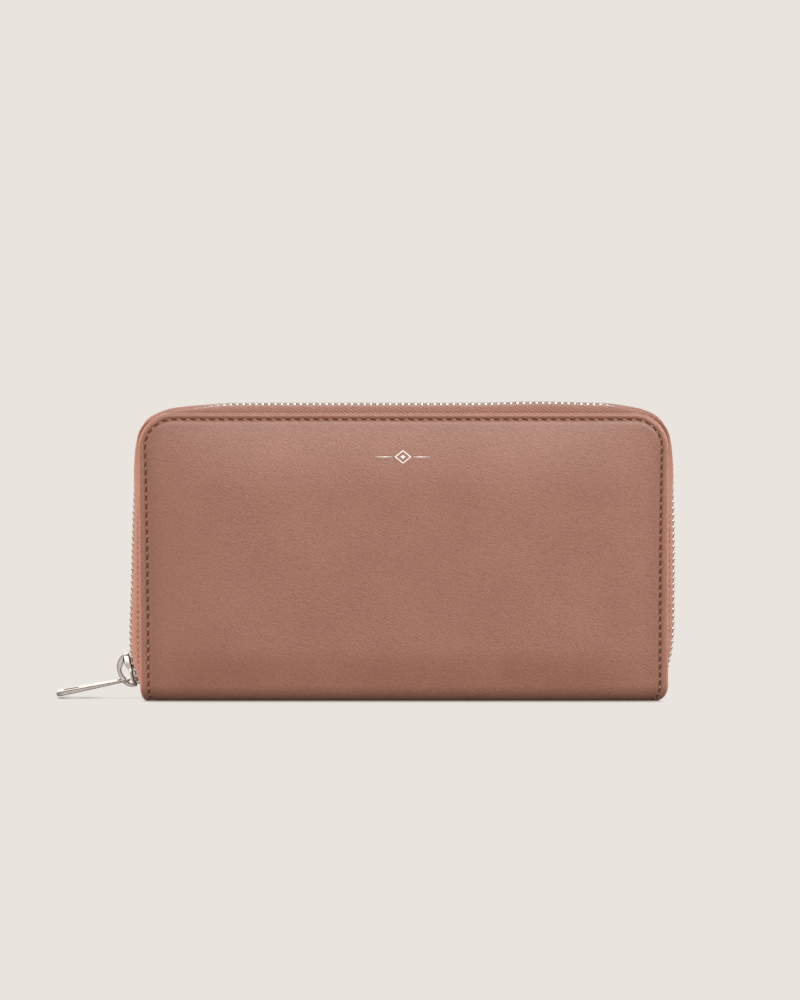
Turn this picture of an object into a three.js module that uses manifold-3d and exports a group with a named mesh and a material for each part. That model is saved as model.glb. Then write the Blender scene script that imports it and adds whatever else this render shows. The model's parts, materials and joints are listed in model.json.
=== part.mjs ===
// Zip-around wallet, closed and standing on its folded edge.
// Millimetres. X runs along the fold, -Y is the front, +Z is up.
// The origin is the middle of the face that the wallet rests on.

import * as THREE from "three";
import { mergeVertices } from "three/addons/utils/BufferGeometryUtils.js";
import Module from "manifold-3d";

const wasm = await Module();
wasm.setup();

// ---------------------------------------------------------------- dimensions

// Outer leather
const WIDTH = 195;
const HEIGHT = 107.4;
const DEPTH = 26;
const LEATHER = 1;
const CORNER_RADIUS = 12;
const FOOT_TAPER = 1.5;
const FOOT_TAPER_HEIGHT = 12;

// Fold along the foot, which is also each leaf's hinge
const FOLD_RADIUS = 6;
const FOLD_SWEEP = THREE.MathUtils.degToRad(67);
const HINGE_Y = DEPTH / 2 - FOLD_RADIUS;
const SPINE_HALF_LENGTH = 94;
const SPINE_GAP = 0.1;
const SPINE_LINING_HALF = { x: 88, y: 6.4 };
const SPINE_LINING_Z = 1.3;
const LINING_SHEET = 0.4;

// Flat layers inside each leaf: distance of the outer face from the middle, and thickness
const LAYER_INSET = 9;
const LAYER_FOOT = 8;
const LEAF_LAYERS = [
  { name: "foam", outer: 11.75, thickness: 0.8, top: HEIGHT - LAYER_INSET, slot: "foam" },
  { name: "board", outer: 10.65, thickness: 0.6, top: HEIGHT - LAYER_INSET, slot: "board" },
  { name: "lining", outer: 9.75, thickness: 0.3, top: HEIGHT - LAYER_INSET, slot: "lining" },
  { name: "card_layer_upper", outer: 9.15, thickness: 0.3, top: 91, slot: "lining" },
  { name: "card_layer_middle", outer: 8.6, thickness: 0.3, top: 78, slot: "lining" },
  { name: "card_layer_lower", outer: 8.05, thickness: 0.3, top: 65, slot: "lining" },
];

// Zip chain round three sides
const CHAIN_CORNER_RADIUS = 27.5;
const CHAIN_TOP = HEIGHT + 1.8;
const CHAIN_LEFT_X = -98.6;
const CHAIN_RIGHT_X = 98.6;
const CHAIN_SHOULDER = CHAIN_TOP - CHAIN_CORNER_RADIUS;
const CHAIN_STEPS = 64;
const TOOTH_ROW = { near: 0.6, far: 2.8, thickness: 1.4 };
const TAPE_THICKNESS = 0.5;
// Tape cross-section: y from the middle, and height relative to the chain's centre line
const TAPE_SECTION = [
  { y: 3.1, rise: 0 },
  { y: 7.4, rise: -1 },
  { y: 10.4, rise: -2.4 },
  { y: 11.4, rise: -3.9 },
  { y: 11.4, rise: -6.7 },
];
const STOP_BLOCK = { x: 2, y: 2, z: 1.5 };

// Slider on the left leg of the chain, in its own tilted frame
const SLIDER_CENTRE = { x: -98.8, z: 9.7 };
const SLIDER_TILT = THREE.MathUtils.degToRad(6);
const SLIDER_LENGTH = { low: -4.4, high: 5.6 };
const CHANNEL_HALF = 2;
const SLIDER_PLATE = 1;
const OUTER_PLATE_HALF_WIDTH = 4;
const INNER_PLATE_HALF_WIDTH = 3.7;
const SLIDER_WEB_HALF = 0.3;
const FIT_GAP = 0.3;
const BRIDGE = { centreZ: 0.8, depth: 3.1, height: 5.8, strap: 1.2, foot: 1.1, halfWidth: 1.4 };

// Pull tab on the slider, resting nearly level
const PULL_PIVOT = { x: -3.92, z: -2 };
const PULL_DROP = THREE.MathUtils.degToRad(11.2);
const PULL = { length: 25.5, thickness: 1.2, eyeWidth: 6.4, tipWidth: 7.6, bar: 0.9 };
const PULL_EYE = { length: 5.5, halfWidth: 1.9 };

// Coin pocket between the two note compartments
const COIN_HALF_LENGTH = 86;
const COIN_WALL = { inner: 2.9, thickness: 0.6, foot: 2.4, top: 91 };
const COIN_SEAM = 0.8;
const COIN_ZIP_Z = 91.6;
const COIN_TAPE = { inner: 2, outer: 3.4, thickness: 0.5 };
const COIN_TEETH = { inner: 0.5, outer: 1.7, thickness: 1.5, halfLength: 77 };
const COIN_SLIDER_X = 72;
const COIN_SLIDER = { length: 7, lowerHalf: 2.3, upperHalf: 3, plate: 0.9, channelHalf: 1.05, webHalf: 0.2 };
const COIN_ARCH = { height: 2.3, strap: 0.8, halfLength: 3, halfWidth: 0.9 };
const COIN_PULL = { length: 11, thickness: 0.8, width: 4.4, bar: 0.8, eyeLength: 3.8, eyeHalfWidth: 1.3 };

// Side gussets: a V-folded sheet at each end of each note compartment
const GUSSET = { mouthX: 86, depth: 17, near: 3.9, far: 7.3, foot: 8, top: 86, thickness: 0.4 };

// ------------------------------------------------------------------ materials

const FINISH = {
  leather: { color: 0xa4735f, roughness: 0.5, metalness: 0 },
  foam: { color: 0xd8cfc0, roughness: 0.95, metalness: 0 },
  board: { color: 0xb59a74, roughness: 0.9, metalness: 0 },
  lining: { color: 0x8c5f4d, roughness: 0.75, metalness: 0 },
  tape: { color: 0xbc8e7c, roughness: 0.85, metalness: 0 },
  metal: { color: 0xc9c4ba, roughness: 0.3, metalness: 1 },
};

// -------------------------------------------------------------------- helpers

function namedMesh(name, geometry, slot) {
  const mesh = new THREE.Mesh(geometry, new THREE.MeshStandardMaterial(FINISH[slot]));
  mesh.name = name;
  return mesh;
}

function toSolid(geometry) {
  const bare = geometry.clone();
  bare.deleteAttribute("normal");
  bare.deleteAttribute("uv");
  const welded = mergeVertices(bare, 1e-4);
  return new wasm.Manifold(new wasm.Mesh({
    numProp: 3,
    vertProperties: new Float32Array(welded.getAttribute("position").array),
    triVerts: new Uint32Array(welded.getIndex().array),
  }));
}

function toGeometry(solid) {
  const result = solid.getMesh();
  const geometry = new THREE.BufferGeometry();
  geometry.setAttribute("position", new THREE.BufferAttribute(result.vertProperties, 3));
  geometry.setIndex(new THREE.BufferAttribute(result.triVerts, 1));
  geometry.computeVertexNormals();
  return geometry;
}

function boxBetween(low, high) {
  const geometry = new THREE.BoxGeometry(high[0] - low[0], high[1] - low[1], high[2] - low[2]);
  return geometry.translate((low[0] + high[0]) / 2, (low[1] + high[1]) / 2, (low[2] + high[2]) / 2);
}

// An outline drawn in X and Z, made solid between two Y planes.
function slabAcrossY(outline, yLow, yHigh, curveSegments = 6) {
  const geometry = new THREE.ExtrudeGeometry(outline, {
    depth: yHigh - yLow,
    bevelEnabled: false,
    curveSegments,
  });
  return geometry.rotateX(Math.PI / 2).translate(0, yHigh, 0);
}

// A profile drawn in Y and Z, made solid between two X planes.
function barAlongX(profile, xLow, xHigh, curveSegments = 8) {
  const geometry = new THREE.ExtrudeGeometry(profile, {
    depth: xHigh - xLow,
    bevelEnabled: false,
    curveSegments,
  });
  const turn = new THREE.Matrix4().makeBasis(
    new THREE.Vector3(0, 1, 0),
    new THREE.Vector3(0, 0, 1),
    new THREE.Vector3(1, 0, 0),
  );
  return geometry.applyMatrix4(turn).translate(xLow, 0, 0);
}

// Upright panel: square at the foot, rounded at the two upper corners.
function roundTopOutline(halfWidth, foot, top, radius) {
  const outline = new THREE.Shape();
  outline.moveTo(-halfWidth, foot);
  outline.lineTo(halfWidth, foot);
  outline.absarc(halfWidth - radius, top - radius, radius, 0, Math.PI / 2, false);
  outline.absarc(-halfWidth + radius, top - radius, radius, Math.PI / 2, Math.PI, false);
  return outline;
}

// ------------------------------------------------------------ covers and leaf

// Section of the back cover: a flat slab that rolls under at the foot.
function coverProfile() {
  const profile = new THREE.Shape();
  profile.moveTo(DEPTH / 2, HEIGHT);
  profile.lineTo(DEPTH / 2 - LEATHER, HEIGHT);
  profile.absarc(HINGE_Y, FOLD_RADIUS, FOLD_RADIUS - LEATHER, 0, -FOLD_SWEEP, true);
  profile.absarc(HINGE_Y, FOLD_RADIUS, FOLD_RADIUS, -FOLD_SWEEP, 0, false);
  return profile;
}

// Front view of a cover: rounded above, drawn in a little towards the fold.
function coverOutline() {
  const half = WIDTH / 2;
  const outline = new THREE.Shape();
  outline.moveTo(-half + FOOT_TAPER, -1);
  outline.lineTo(half - FOOT_TAPER, -1);
  outline.lineTo(half, FOOT_TAPER_HEIGHT);
  outline.absarc(half - CORNER_RADIUS, HEIGHT - CORNER_RADIUS, CORNER_RADIUS, 0, Math.PI / 2, false);
  outline.absarc(-half + CORNER_RADIUS, HEIGHT - CORNER_RADIUS, CORNER_RADIUS, Math.PI / 2, Math.PI, false);
  outline.lineTo(-half, FOOT_TAPER_HEIGHT);
  return outline;
}

function coverGeometry() {
  const rolled = toSolid(barAlongX(coverProfile(), -WIDTH / 2, WIDTH / 2));
  const trimmed = toSolid(slabAcrossY(coverOutline(), 0, DEPTH));
  return toGeometry(rolled.intersect(trimmed));
}

// Cover and flat layers of one leaf, drawn for the back and turned round for the front.
function leafPanels(side) {
  const leaf = new THREE.Group();
  leaf.add(namedMesh(`${side}_cover`, coverGeometry(), "leather"));
  for (const layer of LEAF_LAYERS) {
    const outline = roundTopOutline(WIDTH / 2 - LAYER_INSET, LAYER_FOOT, layer.top, CORNER_RADIUS);
    const slab = slabAcrossY(outline, layer.outer - layer.thickness, layer.outer);
    leaf.add(namedMesh(`${side}_${layer.name}`, slab, layer.slot));
  }
  leaf.rotation.z = side === "front" ? Math.PI : 0;
  return leaf;
}

// ------------------------------------------------------------------ zip chain

// The chain's centre line: up the left side, over the top, down the right side.
function chainOutline() {
  const left = CHAIN_LEFT_X + CHAIN_CORNER_RADIUS;
  const right = CHAIN_RIGHT_X - CHAIN_CORNER_RADIUS;
  const line = new THREE.Path();
  line.moveTo(-97.9, 5);
  line.quadraticCurveTo(-99.3, 12, -99.4, 22);
  line.lineTo(CHAIN_LEFT_X, CHAIN_SHOULDER);
  line.absarc(left, CHAIN_SHOULDER, CHAIN_CORNER_RADIUS, Math.PI, Math.PI / 2, true);
  line.absarc(right, CHAIN_SHOULDER, CHAIN_CORNER_RADIUS, Math.PI / 2, 0, true);
  line.lineTo(CHAIN_RIGHT_X, 27);
  line.quadraticCurveTo(CHAIN_RIGHT_X, 15, 94.6, 6.5);
  return line;
}

class ChainLine extends THREE.Curve {
  constructor() {
    super();
    this.outline = chainOutline();
  }

  getPoint(t, target = new THREE.Vector3()) {
    const point = this.outline.getPoint(t);
    return target.set(point.x, 0, point.y);
  }
}

// Sweeps a section along the chain. Section points are (distance towards the front, distance inward).
function sweptAlongChain(points) {
  const section = new THREE.Shape(points.map(([front, inward]) => new THREE.Vector2(front, inward)));
  return new THREE.ExtrudeGeometry(section, {
    steps: CHAIN_STEPS,
    extrudePath: new ChainLine(),
    bevelEnabled: false,
  });
}

function tapePoints(facing) {
  const half = TAPE_THICKNESS / 2;
  const outer = [];
  const inner = [];
  TAPE_SECTION.forEach((point, index) => {
    const before = TAPE_SECTION[Math.max(index - 1, 0)];
    const after = TAPE_SECTION[Math.min(index + 1, TAPE_SECTION.length - 1)];
    const along = new THREE.Vector2(after.y - before.y, after.rise - before.rise).normalize();
    outer.push([facing * (point.y - along.y * half), -(point.rise + along.x * half)]);
    inner.unshift([facing * (point.y + along.y * half), -(point.rise - along.x * half)]);
  });
  return [...outer, ...inner];
}

function toothRowPoints(facing) {
  const half = TOOTH_ROW.thickness / 2;
  return [
    [facing * TOOTH_ROW.near, -half],
    [facing * TOOTH_ROW.far, -half],
    [facing * TOOTH_ROW.far, half],
    [facing * TOOTH_ROW.near, half],
  ];
}

// Tape, tooth row and top stop of one leaf. facing is 1 for the front leaf and -1 for the back.
function leafZip(side, facing) {
  const zip = new THREE.Group();
  zip.add(namedMesh(`${side}_tape`, sweptAlongChain(tapePoints(facing)), "tape"));
  zip.add(namedMesh(`${side}_teeth`, sweptAlongChain(toothRowPoints(facing)), "metal"));
  const stop = namedMesh(
    `${side}_top_stop`,
    new THREE.BoxGeometry(STOP_BLOCK.x, STOP_BLOCK.y, STOP_BLOCK.z),
    "metal",
  );
  stop.position.set(-97.6, -facing * 1.7, 3.8);
  zip.add(stop);
  return zip;
}

// Retaining box that joins the two rows at the right-hand end of the chain.
function retainingBox() {
  const box = namedMesh("retaining_box", new THREE.BoxGeometry(2.4, 5.4, 1.9), "metal");
  box.position.set(93.6, 0, 4.6);
  return box;
}

// --------------------------------------------------------------------- slider

function sliderBody() {
  const { low, high } = SLIDER_LENGTH;
  const far = CHANNEL_HALF + SLIDER_PLATE;
  const outer = boxBetween(
    [-far, -OUTER_PLATE_HALF_WIDTH, low],
    [-CHANNEL_HALF, OUTER_PLATE_HALF_WIDTH, high],
  );
  const inner = boxBetween(
    [CHANNEL_HALF, -INNER_PLATE_HALF_WIDTH, low],
    [far, INNER_PLATE_HALF_WIDTH, high],
  );
  const web = boxBetween(
    [-CHANNEL_HALF - FIT_GAP, -SLIDER_WEB_HALF, 0],
    [CHANNEL_HALF + FIT_GAP, SLIDER_WEB_HALF, high],
  );
  const body = toSolid(outer).add(toSolid(inner)).add(toSolid(web));
  return namedMesh("slider_body", toGeometry(body), "metal");
}

// C-shaped strap that carries the pull tab, standing on the outer plate.
function sliderBridge() {
  const foot = -(CHANNEL_HALF + SLIDER_PLATE + FIT_GAP);
  const { centreZ, depth, height, strap, halfWidth } = BRIDGE;
  const top = Math.PI / 2;
  const bottom = Math.PI * 1.5;
  const outline = new THREE.Shape();
  outline.moveTo(foot, centreZ + height);
  outline.absellipse(foot, centreZ, depth, height, top, bottom, false);
  outline.absellipse(foot, centreZ, depth - strap, height - BRIDGE.foot, bottom, top, true);
  return namedMesh("slider_bridge", slabAcrossY(outline, -halfWidth, halfWidth, 10), "metal");
}

// Flat bar with an eye at one end, drawn along -X from its pivot.
function pullOutline(length, bar, eyeWidth, tipWidth, eyeLength, eyeHalfWidth) {
  const end = bar / 2;
  const round = tipWidth / 4;
  const outline = new THREE.Shape();
  outline.moveTo(end, -eyeWidth / 2);
  outline.lineTo(end, eyeWidth / 2);
  outline.lineTo(-length + round, tipWidth / 2);
  outline.absarc(-length + round, tipWidth / 2 - round, round, Math.PI / 2, Math.PI, false);
  outline.absarc(-length + round, -tipWidth / 2 + round, round, Math.PI, Math.PI * 1.5, false);
  const eye = new THREE.Path();
  eye.moveTo(-end, -eyeHalfWidth);
  eye.lineTo(-end - eyeLength, -eyeHalfWidth);
  eye.lineTo(-end - eyeLength, eyeHalfWidth);
  eye.lineTo(-end, eyeHalfWidth);
  outline.holes.push(eye);
  return outline;
}

function pullTab() {
  const outline = pullOutline(
    PULL.length, PULL.bar, PULL.eyeWidth, PULL.tipWidth, PULL_EYE.length, PULL_EYE.halfWidth,
  );
  const plate = new THREE.ExtrudeGeometry(outline, {
    depth: PULL.thickness,
    bevelEnabled: false,
    curveSegments: 4,
  });
  const tab = namedMesh("pull_tab", plate.translate(0, 0, -PULL.thickness / 2), "metal");
  tab.position.set(PULL_PIVOT.x, 0, PULL_PIVOT.z);
  tab.rotation.y = SLIDER_TILT - PULL_DROP;
  return tab;
}

function mainSlider() {
  const slider = new THREE.Group();
  slider.add(sliderBody(), sliderBridge(), pullTab());
  slider.position.set(SLIDER_CENTRE.x, 0, SLIDER_CENTRE.z);
  slider.rotation.y = -SLIDER_TILT;
  return slider;
}

// ---------------------------------------------------------------- coin pocket

function coinPocket() {
  const pocket = new THREE.Group();
  const { inner, thickness, foot, top } = COIN_WALL;
  const half = COIN_HALF_LENGTH;
  const clear = inner - FIT_GAP;
  for (const [side, sign] of [["front", -1], ["rear", 1]]) {
    const wall = new THREE.BoxGeometry(2 * half, thickness, top - foot);
    wall.translate(0, sign * (inner + thickness / 2), (foot + top) / 2);
    pocket.add(namedMesh(`coin_${side}_wall`, wall, "lining"));
    const tape = new THREE.BoxGeometry(2 * half, COIN_TAPE.outer - COIN_TAPE.inner, COIN_TAPE.thickness);
    tape.translate(0, sign * (COIN_TAPE.inner + COIN_TAPE.outer) / 2, COIN_ZIP_Z);
    pocket.add(namedMesh(`coin_${side}_tape`, tape, "tape"));
    const rowWidth = COIN_TEETH.outer - COIN_TEETH.inner;
    const teeth = new THREE.BoxGeometry(2 * COIN_TEETH.halfLength, rowWidth, COIN_TEETH.thickness);
    teeth.translate(0, sign * (COIN_TEETH.inner + COIN_TEETH.outer) / 2, COIN_ZIP_Z);
    pocket.add(namedMesh(`coin_${side}_teeth`, teeth, "metal"));
  }
  const seamTop = top - 2;
  const floor = boxBetween([-half, -clear, foot], [half, clear, foot + COIN_SEAM]);
  pocket.add(namedMesh("coin_floor_seam", floor, "lining"));
  for (const [side, sign] of [["left", -1], ["right", 1]]) {
    const seam = new THREE.BoxGeometry(COIN_SEAM, 2 * clear, seamTop - foot - COIN_SEAM - FIT_GAP);
    seam.translate(sign * (half - COIN_SEAM / 2), 0, (foot + COIN_SEAM + FIT_GAP + seamTop) / 2);
    pocket.add(namedMesh(`coin_${side}_seam`, seam, "lining"));
    const stop = new THREE.BoxGeometry(1.5, 2 * COIN_TEETH.outer, COIN_TEETH.thickness + 0.3);
    stop.translate(sign * (COIN_TEETH.halfLength + FIT_GAP + 0.75), 0, COIN_ZIP_Z);
    pocket.add(namedMesh(`coin_${side}_stop`, stop, "metal"));
  }
  return pocket;
}

// Coin slider: two plates, a web between the rows, and an arch for its pull.
function coinSlider() {
  const { length, lowerHalf, upperHalf, plate, channelHalf, webHalf } = COIN_SLIDER;
  const half = length / 2;
  const face = channelHalf + plate;
  const crown = face + COIN_ARCH.height;
  const { strap, halfLength, halfWidth } = COIN_ARCH;
  const parts = [
    boxBetween([-half, -lowerHalf, -face], [half, lowerHalf, -channelHalf]),
    boxBetween([-half, -upperHalf, channelHalf], [half, upperHalf, face]),
    boxBetween([-half, -webHalf, -channelHalf - FIT_GAP], [0, webHalf, channelHalf + FIT_GAP]),
    boxBetween([-halfLength, -halfWidth, face - FIT_GAP], [-halfLength + strap, halfWidth, crown]),
    boxBetween([halfLength - strap, -halfWidth, face - FIT_GAP], [halfLength, halfWidth, crown]),
    boxBetween([-halfLength, -halfWidth, crown - strap], [halfLength, halfWidth, crown]),
  ];
  const solid = parts.map(toSolid).reduce((sum, next) => sum.add(next));
  const slider = new THREE.Group();
  slider.add(namedMesh("coin_slider", toGeometry(solid), "metal"));
  slider.add(coinPull(face + (COIN_ARCH.height - strap) / 2));
  slider.position.set(COIN_SLIDER_X, 0, COIN_ZIP_Z);
  return slider;
}

function coinPull(pivotHeight) {
  const { length, thickness, width, bar, eyeLength, eyeHalfWidth } = COIN_PULL;
  const outline = pullOutline(length, bar, width, width, eyeLength, eyeHalfWidth);
  const plate = new THREE.ExtrudeGeometry(outline, {
    depth: thickness,
    bevelEnabled: false,
    curveSegments: 4,
  });
  const tab = namedMesh("coin_pull", plate.translate(0, 0, -thickness / 2), "metal");
  tab.position.set(-COIN_ARCH.halfLength + COIN_ARCH.strap + 0.9, 0, pivotHeight);
  return tab;
}

// ----------------------------------------------------------- spine and gussets

function spine() {
  const parts = new THREE.Group();
  const half = HINGE_Y - SPINE_GAP;
  const leather = boxBetween([-SPINE_HALF_LENGTH, -half, 0], [SPINE_HALF_LENGTH, half, LEATHER]);
  parts.add(namedMesh("spine_leather", leather, "leather"));
  const { x, y } = SPINE_LINING_HALF;
  const lining = boxBetween([-x, -y, SPINE_LINING_Z], [x, y, SPINE_LINING_Z + LINING_SHEET]);
  parts.add(namedMesh("spine_lining", lining, "lining"));
  return parts;
}

// One V-folded sheet, opening towards the end of the wallet. xSign and ySign place it.
function gussetGeometry(xSign, ySign) {
  const { mouthX, depth, near, far, foot, top, thickness } = GUSSET;
  const fold = (near + far) / 2;
  const outline = new THREE.Shape();
  outline.moveTo(xSign * mouthX, ySign * near);
  outline.lineTo(xSign * (mouthX - depth), ySign * fold);
  outline.lineTo(xSign * mouthX, ySign * far);
  outline.lineTo(xSign * mouthX, ySign * (far - thickness));
  outline.lineTo(xSign * (mouthX - depth + 2.5), ySign * fold);
  outline.lineTo(xSign * mouthX, ySign * (near + thickness));
  const sheet = new THREE.ExtrudeGeometry(outline, { depth: top - foot, bevelEnabled: false });
  return sheet.translate(0, 0, foot);
}

function gussets() {
  const group = new THREE.Group();
  for (const [side, ySign] of [["front", -1], ["back", 1]]) {
    for (const [end, xSign] of [["left", -1], ["right", 1]]) {
      group.add(namedMesh(`gusset_${side}_${end}`, gussetGeometry(xSign, ySign), "lining"));
    }
  }
  return group;
}

// ------------------------------------------------------------------- assembly

const group = new THREE.Group();
group.add(leafPanels("front"), leafPanels("back"));
group.add(leafZip("front", 1), leafZip("back", -1));
group.add(retainingBox(), mainSlider(), coinPocket(), coinSlider(), spine(), gussets());

export default group;
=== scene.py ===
import json
import math

import bmesh
import bpy
import numpy as np
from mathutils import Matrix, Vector
from mathutils.geometry import tessellate_polygon


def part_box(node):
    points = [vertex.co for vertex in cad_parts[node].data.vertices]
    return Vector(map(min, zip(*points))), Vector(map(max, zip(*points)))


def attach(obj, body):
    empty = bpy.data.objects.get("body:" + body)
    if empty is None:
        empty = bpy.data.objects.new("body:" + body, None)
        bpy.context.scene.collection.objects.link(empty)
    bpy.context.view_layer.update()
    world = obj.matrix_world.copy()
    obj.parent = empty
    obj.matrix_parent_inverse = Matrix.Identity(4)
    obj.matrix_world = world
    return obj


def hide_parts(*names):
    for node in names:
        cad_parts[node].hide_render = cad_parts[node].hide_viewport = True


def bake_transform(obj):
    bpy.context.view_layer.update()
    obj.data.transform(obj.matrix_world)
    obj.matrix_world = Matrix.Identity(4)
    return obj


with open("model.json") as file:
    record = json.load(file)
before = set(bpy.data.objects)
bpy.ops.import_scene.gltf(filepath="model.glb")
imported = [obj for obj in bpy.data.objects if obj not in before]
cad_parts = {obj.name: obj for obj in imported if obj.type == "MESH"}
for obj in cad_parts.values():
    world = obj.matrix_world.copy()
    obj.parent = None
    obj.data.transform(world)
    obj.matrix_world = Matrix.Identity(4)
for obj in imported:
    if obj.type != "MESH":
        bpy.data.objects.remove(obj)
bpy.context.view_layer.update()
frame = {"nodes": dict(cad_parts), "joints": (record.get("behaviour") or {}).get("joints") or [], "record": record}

# Zip-around wallet in grained leather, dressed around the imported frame.
# Shapes are worked out in millimetres and written to meshes in metres.

MM = 0.001
JOINT = {j["name"]: j for j in frame["joints"]}
SIDES = (("front", -1), ("back", 1))


def node_box(name):
    """Lowest and highest corner of a CAD node, in millimetres."""
    low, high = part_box(name)
    return np.array(low) / MM, np.array(high) / MM


# ---------- sizes from the frame

TOP_Z = node_box("back_cover")[1][2]
HINGE_Y = JOINT["back_leaf_fold"]["pos_m"][1] / MM
FOLD_R = JOINT["back_leaf_fold"]["pos_m"][2] / MM
TOOTH_TOP_DROP = 0.7
CHAIN_TOP = node_box("front_teeth")[1][2] - TOOTH_TOP_DROP
PULL_PIVOT = np.array(JOINT["pull_swing"]["pos_m"]) / MM
COIN_PIVOT = np.array(JOINT["coin_pull_swing"]["pos_m"]) / MM

# Leather shell
CORNER_R = 13.0
SHELL_THICKNESS = 1.3
EDGE_ROUND = 1.0
STITCH_INSET = 2.8
STITCH_PITCH = 3.5
LEFT_PITCH, RIGHT_PITCH = 3.14, 2.97
CROWN = 2.0
FACE_START = HINGE_Y + FOLD_R * math.pi / 2
SHELL_TOP = FACE_START + TOP_Z - FOLD_R

# Chain
TOOTH_PITCH = 2.36
CHAIN_ARC_R = 27.5
CHAIN_SHOULDER = CHAIN_TOP - CHAIN_ARC_R


# ---------- camera, stage

CAMERA_AIM = (-1.1, -13.0, 75.2)
CAMERA_DISTANCE = 2000.0
CAMERA_ELEVATION = math.radians(5)
FRAME_HEIGHT = 369.3


def add_object(name, data):
    """A new object in the scene."""
    thing = bpy.data.objects.new(name, data)
    bpy.context.scene.collection.objects.link(thing)
    return thing


def make_camera():
    data = bpy.data.cameras.new("camera")
    camera = add_object("camera", data)
    back = Vector((0, -math.cos(CAMERA_ELEVATION), math.sin(CAMERA_ELEVATION)))
    camera.location = (Vector(CAMERA_AIM) + back * CAMERA_DISTANCE) * MM
    camera.rotation_euler = (-back).to_track_quat("-Z", "Y").to_euler()
    data.sensor_width = 36
    data.lens = data.sensor_width * CAMERA_DISTANCE / FRAME_HEIGHT
    data.clip_start, data.clip_end = 0.05, 100
    bpy.context.scene.camera = camera


make_camera()


# ---------- node material kit

def srgb(red, green, blue):
    """Linear colour from 0-255 screen values."""
    def linear(value):
        value /= 255
        return value / 12.92 if value <= 0.04045 else ((value + 0.055) / 1.055) ** 2.4
    return (linear(red), linear(green), linear(blue), 1)


class Nodes:
    """Short calls for building the node tree of a material or a world."""

    def __init__(self, owner):
        owner.use_nodes = True
        self.owner = owner
        self.tree = owner.node_tree
        self.tree.nodes.clear()

    def add(self, kind, inputs=None, **settings):
        """A new node. inputs holds {socket: constant, or another node's output}."""
        node = self.tree.nodes.new(kind)
        for key, value in settings.items():
            setattr(node, key, value)
        for key, value in (inputs or {}).items():
            if isinstance(value, bpy.types.NodeSocket):
                self.tree.links.new(value, node.inputs[key])
            else:
                node.inputs[key].default_value = value
        return node

    def math(self, operation, a, b=0.0, c=0.0):
        return self.add("ShaderNodeMath", {0: a, 1: b, 2: c}, operation=operation).outputs[0]

    def times(self, a, b):
        return self.math("MULTIPLY", a, b)

    def gap(self, a, b):
        """How far a is from b, either way."""
        return self.math("ABSOLUTE", self.math("SUBTRACT", a, b))

    def uv(self, name):
        """The named UV map in millimetres."""
        return self.scaled(self.add("ShaderNodeUVMap", uv_map=name).outputs[0], (1000, 1000, 1000))

    def object_mm(self):
        return self.scaled(self.add("ShaderNodeTexCoord").outputs["Object"], (1000, 1000, 1000))

    def scaled(self, vector, scale, turn=0.0):
        inputs = {"Vector": vector, "Scale": scale, "Rotation": (0, 0, turn)}
        return self.add("ShaderNodeMapping", inputs).outputs[0]

    def split(self, vector):
        return self.add("ShaderNodeSeparateXYZ", {0: vector}).outputs

    def noise(self, vector, scale, detail=3.0, roughness=0.55, distortion=0.0, output="Fac"):
        inputs = {"Vector": vector, "Scale": scale, "Detail": detail, "Roughness": roughness,
                  "Distortion": distortion}
        return self.add("ShaderNodeTexNoise", inputs).outputs[output]

    def voronoi(self, vector, scale):
        inputs = {"Vector": vector, "Scale": scale}
        return self.add("ShaderNodeTexVoronoi", inputs, feature="SMOOTH_F1").outputs["Distance"]

    def ramp(self, value, low, high, to_low=0.0, to_high=1.0):
        inputs = dict(enumerate((value, low, high, to_low, to_high)))
        return self.add("ShaderNodeMapRange", inputs, clamp=True).outputs[0]

    def mix(self, factor, a, b):
        return self.add("ShaderNodeMix", {0: factor, 6: a, 7: b}, data_type="RGBA").outputs[2]

    def bump(self, height, distance, strength=1.0, normal=None):
        inputs = {"Strength": strength, "Distance": distance * MM, "Height": height}
        if normal is not None:
            inputs["Normal"] = normal
        return self.add("ShaderNodeBump", inputs).outputs[0]

    def output(self, shader, kind="ShaderNodeOutputMaterial"):
        self.add(kind, {0: shader.outputs[0]})
        return self.owner

    def finish(self, color, roughness, normal, **constants):
        inputs = {"Base Color": color, "Roughness": roughness, "Normal": normal}
        inputs.update((key.replace("_", " "), value) for key, value in constants.items())
        return self.output(self.add("ShaderNodeBsdfPrincipled", inputs))


def material_nodes(name):
    return Nodes(bpy.data.materials.new(name))


# ---------- materials

LEATHER = srgb(149, 97, 76)
# darker leather: the grain's pebble edges, and painted shade inside the seam, along the stitch groove and towards
# the slider's side
LEATHER_GRAIN_AND_SHADE = srgb(118, 72, 55)
LEATHER_LIGHT = srgb(158, 106, 85)
STITCH_SHADOW = srgb(98, 42, 12)


def leather_grain(n, flat):
    """Height of a fine pebble grain with faint slanting creases, and the pebbles alone."""
    warp = n.scaled(n.noise(flat, 0.5, 2.0, 0.5, output="Color"), (6, 6, 6))
    warped = n.add("ShaderNodeMix", {0: 0.12, 4: flat, 5: warp}, data_type="VECTOR").outputs[1]
    pebbles = n.voronoi(warped, 2.4)
    fine = n.noise(flat, 5.0, 2.0)
    turned = n.scaled(flat, (1, 1, 1), math.radians(24))
    creases = n.noise(n.scaled(turned, (0.4, 1.25, 1)), 1.0, 3.0, distortion=0.7)
    height = n.math("MULTIPLY_ADD", fine, 0.25, n.times(pebbles, -0.6))
    return n.math("MULTIPLY_ADD", creases, 0.8, height), pebbles


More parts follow.
